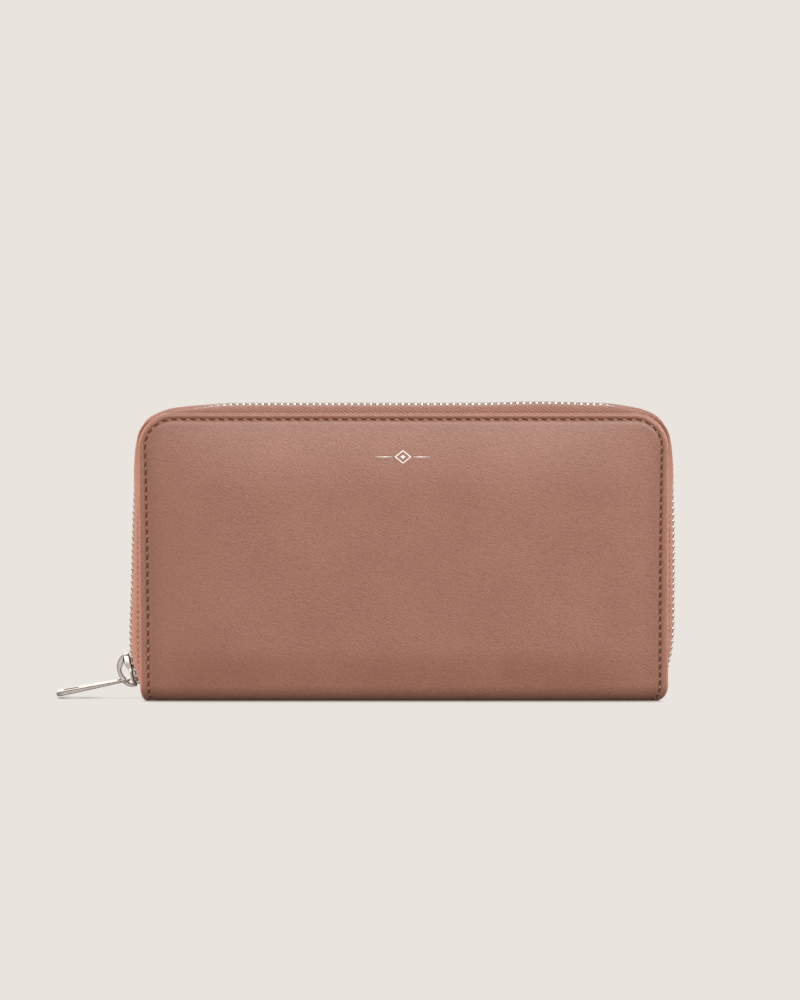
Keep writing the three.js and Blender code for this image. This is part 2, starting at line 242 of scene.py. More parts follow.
def make_leather():
    n = material_nodes("grained_leather")
    flat = n.uv("flat")
    path = n.split(n.uv("path"))
    height, pebbles = leather_grain(n, flat)
    tone = n.noise(flat, 0.035, 3.0)
    color = n.mix(n.ramp(tone, 0.3, 0.7), LEATHER, LEATHER_LIGHT)
    color = n.mix(n.ramp(pebbles, 0.3, 0.7, 0.0, 0.42), color, LEATHER_GRAIN_AND_SHADE)
    # painted shade: it is darker just inside the seam, and a little towards the slider's side
    seam = n.times(n.ramp(path[1], 3.2, 4.0), n.ramp(path[1], 4.0, 8.6, 0.36, 0.0))
    color = n.mix(seam, color, LEATHER_GRAIN_AND_SHADE)
    color = n.mix(n.ramp(n.split(flat)[0], -92, -45, 0.18, 0.0), color, LEATHER_GRAIN_AND_SHADE)
    # needle slots between the thread's surface stitches, painted dark as the shade inside the holes
    phase = n.math("FRACT", n.math("DIVIDE", path[0], STITCH_PITCH))
    centred = n.math("SUBTRACT", phase, 0.5)
    along = n.ramp(n.math("ABSOLUTE", centred), 0.25, 0.30, 1.0, 0.0)
    slanted = n.math("MULTIPLY_ADD", centred, -0.45, path[1])
    across = n.gap(slanted, STITCH_INSET)
    slot = n.times(along, n.ramp(across, 0.22, 0.38, 1.0, 0.0))
    # painted shade along the stitch groove on either side of the seam
    groove_shade = n.ramp(across, 0.25, 1.1, 0.45, 0.0)
    color = n.mix(groove_shade, color, LEATHER_GRAIN_AND_SHADE)
    color = n.mix(slot, color, STITCH_SHADOW)
    rough = n.ramp(height, -0.3, 0.5, 0.58, 0.42)
    rough = n.math("MAXIMUM", rough, n.times(slot, 0.9))
    normal = n.bump(height, 0.155, 0.8)
    normal = n.bump(n.times(slot, -1.0), 0.5, 0.8, normal)
    return n.finish(color, rough, normal, Specular_IOR_Level=0.6, Sheen_Weight=0.08,
                    Sheen_Roughness=0.45, Coat_Weight=0.55, Coat_Roughness=0.42)


def make_thread():
    n = material_nodes("waxed_thread")
    spot = n.object_mm()
    fibre = n.noise(spot, 5.0, 2.0)
    color = n.mix(fibre, srgb(150, 106, 74), srgb(190, 146, 106))
    return n.finish(color, 0.6, n.bump(fibre, 0.06, 0.6), Specular_IOR_Level=0.4)


# the herringbone's rib pitch and slant, and how far across the tape it turns; the seam beside the leather
TWILL_PITCH, TWILL_SLOPE, TWILL_TURN = 1.85, -1.5, 3.2
TAPE_SEAM = 6.7


def make_tape():
    n = material_nodes("zip_tape_twill")
    spot = n.split(n.uv("path"))
    # herringbone twill: the ribs turn back near the chain; beside the leather and where it folds under, the tape
    # is painted dark as shade
    folded = n.gap(spot[1], TWILL_TURN)
    slant = n.math("MULTIPLY_ADD", folded, TWILL_SLOPE, spot[0])
    rib = n.math("SINE", n.times(slant, 2 * math.pi / TWILL_PITCH))
    rib = n.ramp(rib, -0.9, 0.9)
    fuzz = n.noise(n.uv("path"), 2.5, 3.0)
    weave = n.math("MULTIPLY_ADD", fuzz, 0.3, n.times(rib, 0.8))
    color = n.mix(weave, srgb(111, 66, 49), srgb(160, 113, 94))
    color = n.mix(n.ramp(spot[1], 7.2, 8.2, 0.0, 0.7), color, srgb(92, 52, 36))
    # the machine stitches that hold the tape show as dark dashes down both sides
    along = n.gap(n.math("FRACT", n.math("DIVIDE", spot[0], TOOTH_PITCH)), 0.5)
    across = n.gap(spot[1], TAPE_SEAM)
    dash = n.times(n.ramp(along, 0.2, 0.3, 0.85, 0.0), n.ramp(across, 0.2, 0.4, 1.0, 0.0))
    height = n.split(n.object_mm())[2]
    dash = n.times(dash, n.ramp(height, 66, 76, 1.0, 0.0))
    color = n.mix(dash, color, srgb(92, 52, 36))
    return n.finish(color, 0.85, n.bump(weave, 0.12, 0.6), Sheen_Weight=0.2,
                    Sheen_Roughness=0.5, Specular_IOR_Level=0.25)


def make_metal(name, color, roughness, scratch=0.004):
    n = material_nodes(name)
    spot = n.object_mm()
    streak = n.noise(n.scaled(spot, (0.6, 5, 5)), 1.6, 3.0)
    wear = n.noise(spot, 0.45, 2.0)
    tint = n.mix(n.ramp(wear, 0.4, 0.75, 0.0, 0.5), color, srgb(206, 196, 188))
    # painted shade and dark reflection: the bevelled edges beside the flat flanks are darker than the faces, less
    # where they face down
    facing = n.split(n.add("ShaderNodeTexCoord").outputs["Normal"])
    flank = n.math("ABSOLUTE", facing[1])
    bevel_shade = n.times(n.ramp(flank, 0.45, 0.6), n.ramp(flank, 0.82, 0.95, 1.0, 0.0))
    bevel_shade = n.times(bevel_shade, n.ramp(facing[2], -0.25, 0.25, 0.25, 1.0))
    tint = n.mix(n.times(bevel_shade, 0.8), tint, srgb(118, 104, 94))
    rough = n.ramp(streak, 0.3, 0.7, roughness - 0.06, roughness + 0.08)
    return n.finish(tint, rough, n.bump(streak, scratch, 0.5), Metallic=1.0)


def make_teeth():
    """Zip teeth: bright where they are clamped on the tape, with painted shade darkening them between the rows."""
    n = material_nodes("nickel_teeth")
    spot = n.object_mm()
    away = n.math("ABSOLUTE", n.split(spot)[1])
    bright = n.ramp(away, 3.3, 3.5)
    speck = n.noise(spot, 2.0, 2.0)
    # painted shade: the heads between the rows take a darker nickel, as if shadowed
    nickel_in_shade = n.mix(speck, srgb(140, 124, 112), srgb(174, 160, 148))
    color = n.mix(bright, nickel_in_shade, srgb(240, 234, 226))
    return n.finish(color, n.ramp(bright, 0, 1, 0.42, 0.3), n.bump(speck, 0.01, 0.4), Metallic=1.0)


def make_lining():
    n = material_nodes("lining_leather")
    spot = n.object_mm()
    grain = n.voronoi(spot, 2.2)
    cloud = n.noise(spot, 0.06, 3.0)
    color = n.mix(n.ramp(cloud, 0.3, 0.7), srgb(134, 90, 74), srgb(150, 103, 86))
    color = n.mix(n.ramp(grain, 0.3, 0.7, 0.0, 0.3), color, srgb(110, 70, 56))
    return n.finish(color, n.ramp(grain, 0.1, 0.7, 0.55, 0.7), n.bump(grain, 0.05, 0.4),
                    Specular_IOR_Level=0.4)


def make_core(name, dark, light, scale):
    n = material_nodes(name)
    grain = n.noise(n.object_mm(), scale, 4.0)
    return n.finish(n.mix(grain, dark, light), 0.92, n.bump(grain, 0.1, 0.5))


def make_foil():
    n = material_nodes("silver_foil")
    spot = n.object_mm()
    speck = n.noise(spot, 3.0, 3.0)
    color = n.mix(speck, srgb(226, 224, 220), srgb(250, 249, 247))
    return n.finish(color, n.ramp(speck, 0.3, 0.7, 0.28, 0.45), n.bump(speck, 0.02, 0.4),
                    Metallic=0.55)


MATERIAL = {
    "leather": make_leather(),
    "thread": make_thread(),
    "tape": make_tape(),
    "nickel": make_metal("nickel_plate", srgb(234, 225, 219), 0.4),
    "teeth": make_teeth(),
    "lining": make_lining(),
    "foam": make_core("foam_core", srgb(208, 198, 182), srgb(228, 221, 208), 2.0),
    "board": make_core("grey_board", srgb(150, 128, 98), srgb(182, 158, 124), 1.2),
    "foil": make_foil(),
}


# ---------- mesh kit

def build(name, verts, faces, material, slot, uvs=None, sharp=None):
    """A piece from points in millimetres. uvs holds {map name: one (u, v) in mm per point}."""
    verts = np.array(verts, float)
    verts[:, 2] = np.maximum(verts[:, 2], 0)
    mesh = bpy.data.meshes.new(name)
    mesh.from_pydata((verts * MM).tolist(), [], faces)
    for uv_name, values in (uvs or {}).items():
        layer = mesh.uv_layers.new(name=uv_name)
        corner = np.empty(len(mesh.loops), int)
        mesh.loops.foreach_get("vertex_index", corner)
        layer.data.foreach_set("uv", (np.asarray(values, float)[corner] * MM).ravel())
    edit = bmesh.new()
    edit.from_mesh(mesh)
    bmesh.ops.recalc_face_normals(edit, faces=edit.faces)
    edit.to_mesh(mesh)
    edit.free()
    mesh.shade_smooth()
    if sharp is not None:
        mesh.set_sharp_from_angle(angle=math.radians(sharp))
    mesh.materials.append(MATERIAL[material])
    piece = add_object(name, mesh)
    return piece


def settle(piece, body, *nodes):
    """Rides the piece on its body. nodes are the CAD nodes it stands for."""
    if nodes:
        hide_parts(*nodes)
    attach(piece, body)


def points3(x, y, z):
    """Points from coordinates that are arrays or single numbers."""
    return np.stack(np.broadcast_arrays(x, y, z), -1)


def thick_sheet(grid, half, side=1):
    """The two faces of a sheet that lies half to either side of a grid of points."""
    offset = surface_normals(grid) * half * side
    return np.concatenate([(grid + offset).reshape(-1, 3), (grid - offset).reshape(-1, 3)])


class Soup:
    """Collects the points and faces of many small solids for one piece."""

    def __init__(self):
        self.verts = []
        self.faces = []
        self.count = 0

    def add(self, verts, faces):
        verts = np.asarray(verts, float).reshape(-1, 3)
        self.verts.append(verts)
        self.faces += [[i + self.count for i in face] for face in faces]
        self.count += len(verts)

    def build(self, name, material, slot, sharp=None):
        return build(name, np.concatenate(self.verts), self.faces, material, slot, sharp=sharp)


def quads(index):
    """Faces between neighbours in a grid of point numbers."""
    corners = index[:-1, :-1], index[:-1, 1:], index[1:, 1:], index[1:, :-1]
    return np.stack(corners, -1).reshape(-1, 4).tolist()


def walls(line, total):
    """Faces between a line of points and its twin, total further on."""
    return [(a, b, b + total, a + total) for a, b in zip(line, line[1:])]


def flipped(faces, total):
    """The faces of the twin sheet, total further on, seen from its other side."""
    return [[i + total for i in reversed(face)] for face in faces]


def ring_quads(index):
    """Faces of a grid whose last column joins its first."""
    return quads(np.hstack([index, index[:, :1]]))


def tube_faces(rings, sides):
    """A closed tube of rings of points with a flat face at each end."""
    index = np.arange(rings * sides).reshape(rings, sides)
    return ring_quads(index) + [index[0].tolist(), index[-1].tolist()]


def slab_faces(rows, columns):
    """Faces of a closed slab: a grid of points, its twin behind it, and the border between them."""
    index = np.arange(rows * columns).reshape(rows, columns)
    faces = quads(index)
    border = np.concatenate([index[0], index[1:, -1], index[-1, -2::-1], index[-2::-1, 0]]).tolist()
    return faces + flipped(faces, index.size) + walls(border, index.size)


def level(x, height):
    """Points of a level line, in the plane."""
    return np.column_stack([x, np.full(len(x), height)])


def surface_normals(grid):
    along = np.gradient(grid, axis=0)
    across = np.gradient(grid, axis=1)
    normal = np.cross(along, across)
    return normal / np.linalg.norm(normal, axis=2)[..., None]


def spline(points, count):
    """A smooth curve through the points, resampled evenly to count points."""
    points = np.asarray(points, float)
    padded = np.vstack([2 * points[0] - points[1], points, 2 * points[-1] - points[-2]])
    t = np.linspace(0, 1, 24, endpoint=False)[:, None]
    runs = []
    for a, b, c, d in zip(padded, padded[1:], padded[2:], padded[3:]):
        runs.append(0.5 * (2 * b + (c - a) * t + (2 * a - 5 * b + 4 * c - d) * t ** 2
                           + (3 * b - a - 3 * c + d) * t ** 3))
    curve = np.vstack(runs + [points[-1:]])
    return resample(curve, count)


def run_along(curve):
    return np.concatenate([[0], np.cumsum(np.linalg.norm(np.diff(curve, axis=0), axis=1))])


def resample(curve, count):
    run = run_along(curve)
    at = np.linspace(0, run[-1], count)
    return np.stack([np.interp(at, run, curve[:, k]) for k in range(curve.shape[1])], -1)


def rounded_ring(width, height, corner, steps=2):
    """Points of a rounded rectangle round the origin, anticlockwise."""
    points = []
    for k, (sx, sy) in enumerate(((1, 1), (-1, 1), (-1, -1), (1, -1))):
        for a in np.linspace(0, math.pi / 2, steps + 1) + k * math.pi / 2:
            points.append((sx * (width / 2 - corner) + corner * math.cos(a),
                           sy * (height / 2 - corner) + corner * math.sin(a)))
    return np.array(points)


def inset_loop(loop, distance):
    """A closed outline moved to its left by distance."""
    loop = np.asarray(loop, float)
    back = loop - np.roll(loop, 1, axis=0)
    ahead = np.roll(loop, -1, axis=0) - loop
    back /= np.linalg.norm(back, axis=1)[:, None]
    ahead /= np.linalg.norm(ahead, axis=1)[:, None]
    bisector = np.stack([-back[:, 1] - ahead[:, 1], back[:, 0] + ahead[:, 0]], -1)
    length = np.sum(bisector ** 2, axis=1)
    return loop + distance * 2 * bisector / np.maximum(length, 0.5)[:, None]


def plate(outline, holes, thickness, bevel):
    """A flat plate with bevelled edges in its own (u, v, w) space.

    The outline runs anticlockwise and the holes clockwise. thickness gives the depth at u."""
    verts, faces, indices, count = [], [], [], 0
    for loop in (outline, *holes):
        loop = np.asarray(loop, float)
        half = thickness(loop[:, 0]) / 2
        inner = inset_loop(loop, bevel)
        inner_half = thickness(inner[:, 0]) / 2
        layers = [(inner, inner_half), (loop, half - bevel), (loop, bevel - half), (inner, -inner_half)]
        verts += [np.column_stack(layer) for layer in layers]
        index = np.arange(count, count + 4 * len(loop)).reshape(4, -1)
        faces += ring_quads(index)
        indices.append(index)
        count += index.size
    points = np.concatenate(verts)
    upper, lower = (np.concatenate([index[row] for index in indices]) for row in (0, 3))
    polygons = [[Vector((*points[i][:2], 0)) for i in index[0]] for index in indices]
    for triangle in tessellate_polygon(polygons):
        faces += [upper[list(triangle)].tolist(), lower[list(triangle)[::-1]].tolist()]
    return points, faces


def stadium(length, width, centre=0.0, steps=8, clockwise=False):
    """A slot's outline with round ends, along u."""
    radius = width / 2
    half = length / 2 - radius
    points = []
    for end, start in ((half, -math.pi / 2), (-half, math.pi / 2)):
        for a in np.linspace(start, start + math.pi, steps + 1):
            points.append((centre + end + radius * math.cos(a), radius * math.sin(a)))
    return points[::-1] if clockwise else points


def block(low, high, bevel):
    """A box with bevelled edges."""
    low, high = np.array(low, float), np.array(high, float)
    middle, size = (low + high) / 2, high - low
    rings = []
    for shrink, z in ((bevel, low[2]), (0, low[2] + bevel), (0, high[2] - bevel), (bevel, high[2])):
        ring = rounded_ring(size[0] - 2 * shrink, size[1] - 2 * shrink, max(bevel - shrink, bevel * 0.4))
        rings.append(np.column_stack([ring + middle[:2], np.full(len(ring), z)]))
    return np.concatenate(rings), tube_faces(4, len(rings[0]))


def smooth_step(value, low, high):
    t = np.clip((np.asarray(value, float) - low) / (high - low), 0, 1)
    return t * t * (3 - 2 * t)


# ---------- leather shell

LEFT_TAPER, RIGHT_TAPER = 1.6, 3.4
LEFT_FOOT, RIGHT_FOOT = 97.4, 98.25
LEFT_LEAN, RIGHT_LEAN = 0.35, -0.2
FOOT_INSET, TOP_INSET = 3.15, 2.5


def fold_angle(s):
    return np.clip((np.asarray(s, float) - HINGE_Y) / FOLD_R, 0, math.pi / 2)


def rise(s):
    """0 at the foot of the face, 1 near its top."""
    return np.clip((np.asarray(s, float) - FACE_START) / 90, 0, 1)


def left_edge(s):
    """x of the leather's left edge, s mm along it from the middle of the underside."""
    return -(LEFT_FOOT + LEFT_LEAN * rise(s) - LEFT_TAPER * (1 - np.sin(fold_angle(s))))


def right_edge(s):
    return RIGHT_FOOT + RIGHT_LEAN * rise(s) - RIGHT_TAPER * (1 - np.sin(fold_angle(s)))


def inset_scale(s):
    """The seam runs a little closer to the edge towards the top."""
    return (FOOT_INSET + (TOP_INSET - FOOT_INSET) * rise(s) ** 3) / STITCH_INSET


def on_leather(side, x, s, height):
    """Point on the folded leather: s along it from the middle of the underside, height above it."""
    x, s, height = np.broadcast_arrays(*(np.asarray(v, float) for v in (x, s, height)))
    angle = fold_angle(s)
    y = np.minimum(s, HINGE_Y) + (FOLD_R + height) * np.sin(angle)
    z = FOLD_R - (FOLD_R + height) * np.cos(angle) + np.maximum(s - FACE_START, 0)
    return np.stack([x, side * y, z], -1)


def swell(distance, reach):
    return 1 - np.exp(-np.maximum(distance - STITCH_INSET, 0) / reach)


def pillow(distance, reach):
    """Rises from 0 at the edge to 1 at reach, steepest at the edge."""
    return np.sin(np.clip(np.maximum(distance, 0) / reach, 0, 1) * math.pi / 2)


# a distance from the edge that is past every effect of the edge
FAR = 30.0
GROOVE_DEPTH, GROOVE_WIDTH = 0.40, 0.55
PADDING_SIDE, PADDING_TOP = 34, 27
SWELL_HEIGHT, SWELL_REACH = 0.22, 1.6


def relief(side, x, s, edge):
    """Height of the outer face: rolled edge, stitch groove, and the padding's gentle crown."""
    rolled = np.clip(EDGE_ROUND - edge, 0, EDGE_ROUND)
    height = -(EDGE_ROUND - np.sqrt(np.maximum(EDGE_ROUND ** 2 - rolled ** 2, 0)))
    height += 0.09 * np.exp(-((edge - 1.3) / 0.6) ** 2)
    height -= GROOVE_DEPTH * np.exp(-((edge - STITCH_INSET) / GROOVE_WIDTH) ** 2)
    left = x - left_edge(s)
    right = right_edge(s) - x
    top = SHELL_TOP - s
    padding = CROWN * pillow(left - STITCH_INSET, PADDING_SIDE) * pillow(right - STITCH_INSET, PADDING_SIDE)
    padding *= pillow(top - STITCH_INSET, PADDING_TOP)
    padding += SWELL_HEIGHT * swell(left, SWELL_REACH) * swell(right, SWELL_REACH) * swell(top, SWELL_REACH)
    wave = np.sin(x / 23 + 0.7 * side) * np.sin(s / 17 + 1.3) + 0.6 * np.sin(x / 11 + s / 19)
    lifted = smooth_step(s, HINGE_Y, FACE_START + 14)
    return height * smooth_step(s, 2, HINGE_Y + 5) + lifted * (padding + 0.05 * wave * swell(top, 8))


def shell_outline():
    """Points of the shell's rim and the directions inward, in (x, s)."""
    s_corner = SHELL_TOP - CORNER_R
    s_side = np.concatenate([[0, 2.5, 5], np.linspace(HINGE_Y, FACE_START, 13),
                             np.linspace(FACE_START, s_corner, 58)[1:]])
    left, right = (np.column_stack([edge(s_side), s_side]) for edge in (left_edge, right_edge))
    turn = np.linspace(math.pi, math.pi / 2, 17)[1:]
    left_arc = np.column_stack([np.cos(turn), np.sin(turn)])
    right_arc = left_arc[-2::-1] * (-1, 1)
    left_x, right_x = left[-1, 0] + CORNER_R, right[-1, 0] - CORNER_R
    top = level(np.linspace(left_x, right_x, 100)[1:], SHELL_TOP)
    points = [left, (left_x, s_corner) + CORNER_R * left_arc, top,
              (right_x, s_corner) + CORNER_R * right_arc, right[::-1]]
    inward = [(1, 0) + 0 * left, -left_arc, (0, -1) + 0 * top, -right_arc, (-1, 0) + 0 * right]
    return np.vstack(points), np.vstack(inward), len(left) + len(turn) // 2 - 1


def coons(loop, corner):
    """Fills the area inside a rim that runs up, across and down. corner indexes its first turn."""
    last = len(loop) - 1
    left = loop[:corner + 1]
    top = loop[corner:last - corner + 1]
    right = loop[last - corner:][::-1]
    rows, columns = len(left), len(top)
    share = (top[:, 0] - top[0, 0]) / (top[-1, 0] - top[0, 0])
    bottom = left[0] + share[:, None] * (right[0] - left[0])
    u = share[None, :, None]
    v = ((left[:, 1] - left[0, 1]) / (left[-1, 1] - left[0, 1]))[:, None, None]
    across = (1 - u) * left[:, None] + u * right[:, None]
    up = (1 - v) * bottom[None] + v * top[None]
    corners = ((1 - u) * (1 - v) * left[0] + u * (1 - v) * right[0]
               + (1 - u) * v * left[-1] + u * v * right[-1])
    return across + up - corners, rows, columns


def seam_lengths(line):
    """Run along the seam, stretched so that every stitch is STITCH_PITCH of it, also down the sides."""
    step = np.diff(line, axis=0)
    sideways = np.abs(step[:, 1]) > np.abs(step[:, 0])
    pitch = np.where(line[1:, 0] < 0, LEFT_PITCH, RIGHT_PITCH)
    density = np.where(sideways, STITCH_PITCH / pitch, 1)
    return np.concatenate([[0], np.cumsum(np.linalg.norm(step, axis=1) * density)])


# distances from the rim of the rings of points that carry the edge roll and the stitch groove
RIM_RINGS = [0, 0.06, 0.2, 0.42, 0.7, 1.05, 1.45, 1.9, 2.25, 2.55, 2.8, 3.05, 3.4, 3.9, 4.9, 6.6, 8.8]


def leather_shell(name, side):
    rim, inward, corner = shell_outline()
    edges = RIM_RINGS
    inset = inward * inset_scale(rim[:, 1])[:, None]
    seam = rim + STITCH_INSET * inset
    run = seam_lengths(seam)
    count = len(rim)
    rings = [rim + edge * inset for edge in edges]
    patch, rows, columns = coons(rings[-1], corner)
    # the rings, then the rows of the patch without its rim
    body = patch[:-1, 1:-1].reshape(-1, 2)
    outer = np.concatenate([*rings, body])
    edge = np.concatenate([np.repeat(edges, count), np.full(len(body), FAR)])
    along = np.concatenate([np.tile(run, len(edges)), np.zeros(len(body))])
    height = relief(side, outer[:, 0], outer[:, 1], edge)
    top = on_leather(side, outer[:, 0], outer[:, 1], height)
    under = on_leather(side, outer[:, 0], outer[:, 1], -SHELL_THICKNESS)
    total = len(outer)
    ring_index = np.arange(len(edges) * count).reshape(len(edges), count)
    inner_ring = ring_index[-1]
    patch_index = np.empty((rows, columns), int)
    patch_index[:-1, 1:-1] = np.arange(ring_index.size, total).reshape(rows - 1, columns - 2)
    patch_index[-1] = inner_ring[corner:corner + columns]
    patch_index[:, 0] = inner_ring[:rows]
    patch_index[:, -1] = inner_ring[::-1][:rows]
    faces = quads(ring_index) + quads(patch_index)
    faces += flipped(faces, total)
    # the rim and the open foot edge
    foot = np.concatenate([ring_index[:, 0], patch_index[0, 1:-1], ring_index[::-1, -1]])
    faces += walls(ring_index[0].tolist(), total) + walls(foot.tolist(), total)
    uvs = {
        "flat": np.concatenate([outer, outer]),
        "path": np.concatenate([np.stack([along, edge], -1), np.tile([0.0, FAR], (total, 1))]),
    }
    piece = build(name, np.concatenate([top, under]), faces, "leather", "leather", uvs, sharp=70)
    return piece, seam, run


def blend_leaf(piece):
    """Bakes the piece's placement into its points."""
    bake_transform(piece)


SEAM_END = 8.5
STITCH_SHARE = 0.53
THREAD_RADIUS = 0.27


def tube_round(centre, radius, across, up, sides):
    """Rings of points round a centre line."""
    turn = np.linspace(0, 2 * math.pi, sides, endpoint=False)[None, :, None]
    return centre[:, None] + radius * (np.cos(turn) * across + np.sin(turn) * up)


def stitches(name, side, line, run):
    """Thread on the surface between needle slots, one short arched strand per stitch."""
    soup = Soup()
    strand = np.linspace(-0.5, 0.5, 7)
    radius = THREAD_RADIUS * np.sqrt(1 - 0.6 * (2 * strand) ** 4)
    first, last = math.ceil(SEAM_END / STITCH_PITCH), int((run[-1] - SEAM_END) / STITCH_PITCH)
    for k in range(first, last + 1):
        at = k * STITCH_PITCH + strand * STITCH_PITCH * STITCH_SHARE
        x, s = (np.interp(at, run, line[:, axis]) for axis in (0, 1))
        lift = relief(side, x, s, STITCH_INSET) + 0.16 - 0.55 * (2 * np.abs(strand)) ** 3
        centre = on_leather(side, x, s, lift)
        up = on_leather(side, x, s, lift + 1) - centre
        forward = np.gradient(centre, axis=0)
        forward /= np.linalg.norm(forward, axis=1)[:, None]
        across = np.cross(forward, up)
        rings = tube_round(centre, radius[:, None, None], across[:, None], up[:, None], 6)
        soup.add(rings, tube_faces(len(strand), 6))
    return soup.build(name, "thread", "leather")


for side_name, side in SIDES:
    leaf = f"{side_name}_leaf"
    shell, seam, seam_run = leather_shell(f"{side_name}_leather", side)
    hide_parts(f"{side_name}_cover", *(["spine_leather"] if side < 0 else []))
    blend_leaf(shell)
    sewing = stitches(f"{side_name}_stitching", side, seam, seam_run)
    blend_leaf(sewing)


# ---------- zip chain

LEFT_LEG = [(-97.9, 5.9), (-98.4, 7.1), (-99.1, 9.3), (-99.7, 11.5), (-100.2, 14), (-100.7, 20),
            (-100.6, 30), (-100.05, 44), (-99.65, 60), (-98.8, CHAIN_SHOULDER)]
RIGHT_LEG = [(99.35, CHAIN_SHOULDER), (99.9, 60), (99.95, 33), (99.8, 25), (99.2, 18.5), (98.5, 15),
             (97.7, 12), (96.2, 8.8), (94.6, 6.8)]
LEG_STEPS, ARC_STEPS, TOP_STEPS = 110, 36, 120
EDGE_UNDERLAP = 0.35
# where the top of the chain dips or rises a little: x, half width, drop
CHAIN_SAGS = [(-80.5, 11, 2.15), (50, 15, -0.55), (88, 12, 0.7)]
# |y|, share of the way from the chain's line to the leather's edge, and rise, across one tape
TAPE_SECTION = [(3.3, 0, 0), (3.9, 0, 0.5), (4.6, 0.04, 0.95), (5.6, 0.12, 1.2), (6.6, 0.24, 1.3),
                (7.6, 0.38, 1.3), (8.6, 0.55, 1.2), (9.5, 0.75, 0.95), (10.3, 0.92, 0.6),
                (10.9, 0.98, 0.2), (11.25, 1.0, -0.4), (11.4, 1.0, -1.2), (11.42, 1.0, -3.0),
                (11.4, 1.0, -5.5)]
TAPE_THICKNESS = 0.42
TOP_FLATTEN, SIDE_FLATTEN = 0.15, 0.6
LEFT_BULGE, RIGHT_BULGE = 1.3, 1.5
CORD_Y = 3.05
CORD_RADIUS = 0.62
CORD_SIDES = 8


def corner_arc(centre_x, centre_z, radius, start, end):
    angle = np.linspace(start, end, ARC_STEPS + 1)[1:]
    return np.stack([centre_x + radius * np.cos(angle), centre_z + radius * np.sin(angle)], -1)


def chain_lines():
    """The chain's line, and the leather edge's line beside it, with matching points, in (x, z)."""
    left, right = spline(LEFT_LEG, LEG_STEPS), spline(RIGHT_LEG, LEG_STEPS)
    left_x, right_x = left[-1, 0] + CHAIN_ARC_R, right[0, 0] - CHAIN_ARC_R
    top_x = np.linspace(left_x, right_x, TOP_STEPS)[1:]
    quarter = math.pi / 2
    chain = np.vstack([left, corner_arc(left_x, CHAIN_SHOULDER, CHAIN_ARC_R, 2 * quarter, quarter),
                       level(top_x, CHAIN_TOP),
                       corner_arc(right_x, CHAIN_SHOULDER, CHAIN_ARC_R, quarter, 0), right[1:]])
    for at, width, drop in CHAIN_SAGS:
        sag = drop * np.exp(-((chain[:, 0] - at) / width) ** 2)
        chain[:, 1] -= sag * (chain[:, 1] > CHAIN_SHOULDER)
    s_corner = SHELL_TOP - CORNER_R
    z_corner = TOP_Z - CORNER_R
    radius = CORNER_R - EDGE_UNDERLAP

    def leg_edge(leg, edge, sign):
        z = leg[:, 1] + (z_corner - CHAIN_SHOULDER) * smooth_step(leg[:, 1], 40, CHAIN_SHOULDER)
        return np.stack([edge(z - FOLD_R + FACE_START) - sign * EDGE_UNDERLAP, z], -1)

    left_centre = left_edge(s_corner) + CORNER_R
    right_centre = right_edge(s_corner) - CORNER_R
    share = (top_x - left_x) / (right_x - left_x)
    edge_x = left_centre + (right_centre - left_centre) * share
    edge = np.vstack([leg_edge(left, left_edge, -1),
                      corner_arc(left_centre, z_corner, radius, 2 * quarter, quarter),
                      level(edge_x, TOP_Z - EDGE_UNDERLAP),
                      corner_arc(right_centre, z_corner, radius, quarter, 0),
                      leg_edge(right, right_edge, 1)[1:]])
    return chain, edge


CHAIN, TAPE_EDGE = chain_lines()
CHAIN_RUN = run_along(CHAIN)


def outward_normals(line):
    forward = np.gradient(line, axis=0)
    forward /= np.linalg.norm(forward, axis=1)[:, None]
    return np.stack([-forward[:, 1], forward[:, 0]], -1)


CHAIN_OUT = outward_normals(CHAIN)


def on_chain(run):
    """Place, direction and outward normal on the chain's line, in (x, z)."""
    place = np.array([np.interp(run, CHAIN_RUN, CHAIN[:, k]) for k in (0, 1)])
    out = np.array([np.interp(run, CHAIN_RUN, CHAIN_OUT[:, k]) for k in (0, 1)])
    out /= np.linalg.norm(out)
    return place, np.array([out[1], -out[0]]), out


